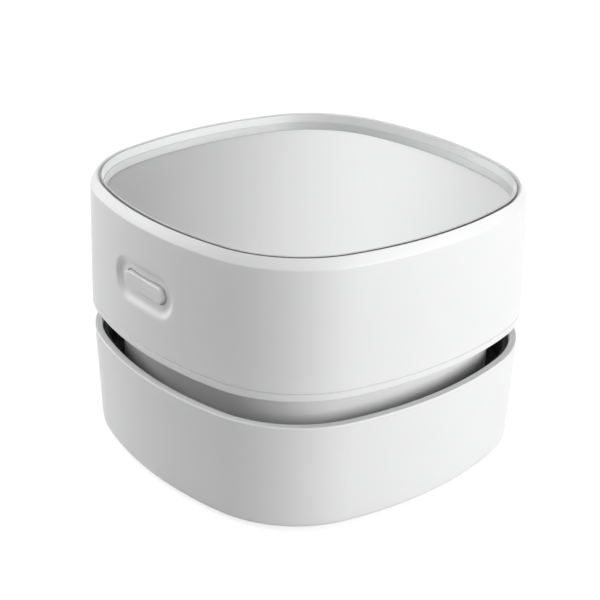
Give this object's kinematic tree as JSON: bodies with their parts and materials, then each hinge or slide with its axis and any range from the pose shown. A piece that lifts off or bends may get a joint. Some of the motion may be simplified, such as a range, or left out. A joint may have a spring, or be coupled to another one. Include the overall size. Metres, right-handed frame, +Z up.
{
  "type": "desktop mini vacuum cleaner",
  "caption": "Small cordless rounded-square desk vacuum: motor head with a silver top plate and push button, lifted off a dust bowl with a suction mouth underneath.",
  "frame": {"origin": "on the table under the middle of the case, at the bottom of the glide feet", "axes": "+Z up; -Y is the front with the power button; +Y is the back with the charging socket; +X to the right"},
  "size_m": [0.086, 0.086, 0.059],
  "materials": {
    "white_shell": "satin moulded, very slightly orange-peeled",
    "white_inner": "plain moulded",
    "tray_white": "gloss",
    "black_liner": "fine matt texture",
    "silver_plate": "bright, lightly brushed",
    "trim_dark": "soft moulded",
    "seal_black": "matt",
    "foot_rubber": "matt",
    "bristle_grey": "nylon fibre",
    "screw_steel": "zinc plated",
    "impeller_grey": "moulded",
    "filter_grey": "moulded",
    "filter_cloth": "pressed felt",
    "motor_steel": "nickel plated",
    "magnet_dark": "sintered",
    "brass_bush": "turned",
    "copper": "machined",
    "cap_black": "moulded",
    "sleeve_black": "foam",
    "cell_wrap": "shrink wrap",
    "nickel_tab": "nickel strip",
    "board_green": "solder mask",
    "parts_black": "moulded",
    "port_steel": "plated",
    "lens_clear": "clear light pipe",
    "lead_red": "insulated wire",
    "lead_black": "insulated wire",
    "button_white": "satin"
  },
  "bodies": {
    "cup": {"dust_bowl": "white_shell", "cup_liner": "black_liner", "suction_plate": "white_inner", "bristle_tufts": "bristle_grey", "base_screws": "screw_steel", "glide_feet": "foot_rubber"},
    "head": {"upper_shell": "white_shell", "top_tray": "tray_white", "tray_trim": "trim_dark", "top_plate": "silver_plate", "lower_cover": "white_shell", "neck_seal": "seal_black", "case_screws": "screw_steel", "fan_cover": "white_inner", "fan_cover_screws": "screw_steel", "chassis": "white_inner", "chassis_screws": "screw_steel", "motor_can": "motor_steel", "motor_bush": "brass_bush", "motor_end_cap": "cap_black", "motor_terminals": "copper", "motor_magnets": "magnet_dark", "motor_screws": "screw_steel", "motor_sleeve": "sleeve_black", "battery_cell": "cell_wrap", "battery_tabs": "nickel_tab", "main_board": "board_green", "board_parts": "parts_black", "board_screws": "screw_steel", "usb_socket": "port_steel", "usb_tongue": "parts_black", "charge_lens": "lens_clear", "push_switch": "parts_black", "switch_board": "board_green", "motor_leads": "lead_red", "battery_leads": "lead_red", "switch_leads": "lead_black"},
    "button": {"power_button": "button_white", "switch_plunger": "button_white"},
    "fan": {"impeller": "impeller_grey", "motor_shaft": "motor_steel", "armature": "motor_steel", "commutator": "copper"},
    "filter": {"filter_frame": "filter_grey", "filter_media": "filter_cloth", "filter_gasket": "seal_black"}
  },
  "joints": [
    {"name": "head_lift", "type": "slide", "parent": "cup", "child": "head", "axis": [0, 0, 1], "range_m": [0, 0.03]},
    {"name": "power_press", "type": "slide", "parent": "head", "child": "button", "axis": [0, 1, 0], "range_m": [0, 0.0009], "stiffness_N_per_m": 900, "springref_m": -0.0008},
    {"name": "fan_spin", "type": "hinge", "parent": "head", "child": "fan", "pos_m": [0, 0, 0.03], "axis": [0, 0, 1], "continuous": true},
    {"name": "filter_twist", "type": "hinge", "parent": "head", "child": "filter", "pos_m": [0, 0, 0.012], "axis": [0, 0, 1], "range_deg": [0, 25]}
  ]
}
